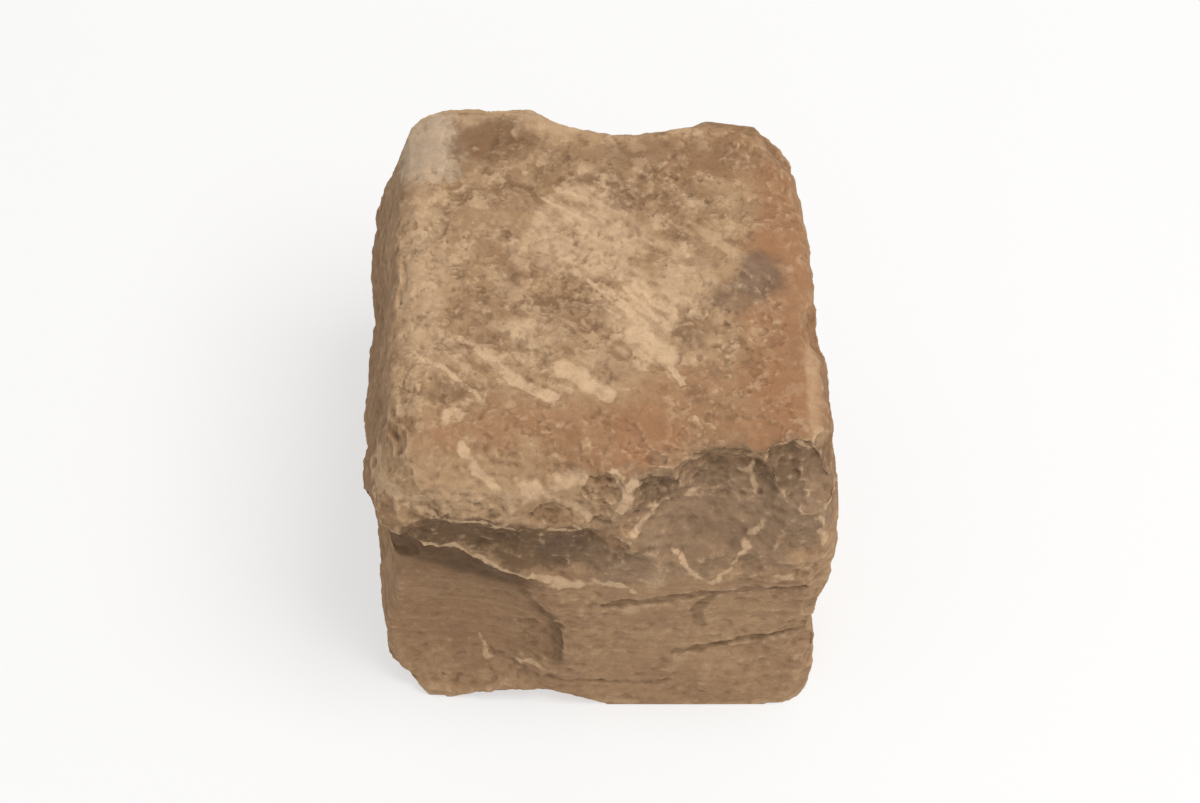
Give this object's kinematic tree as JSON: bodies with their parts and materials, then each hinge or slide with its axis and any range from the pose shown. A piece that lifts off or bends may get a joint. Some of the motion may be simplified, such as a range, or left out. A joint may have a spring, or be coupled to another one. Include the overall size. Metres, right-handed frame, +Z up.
{
  "type": "sandstone sett",
  "caption": "Roughly cubic hewn sandstone paving block with a worn, rounded top, shell-shaped flake scars on its sides and a slightly smaller flat bed.",
  "frame": {"origin": "middle of the bounding rectangle, at the level of the bed that the sett lies on", "axes": "+Z up out of the worn wearing face, -Y out of the front, the side with the broken arris, and +X to the right of that front"},
  "size_m": [0.1534, 0.1552, 0.126],
  "materials": {
    "sandstone": "weathered buff and brown sandstone, rubbed smooth and pale on the wearing face, rough and darker on the hewn sides"
  },
  "bodies": {
    "root": {"sett": "sandstone"}
  },
  "joints": []
}
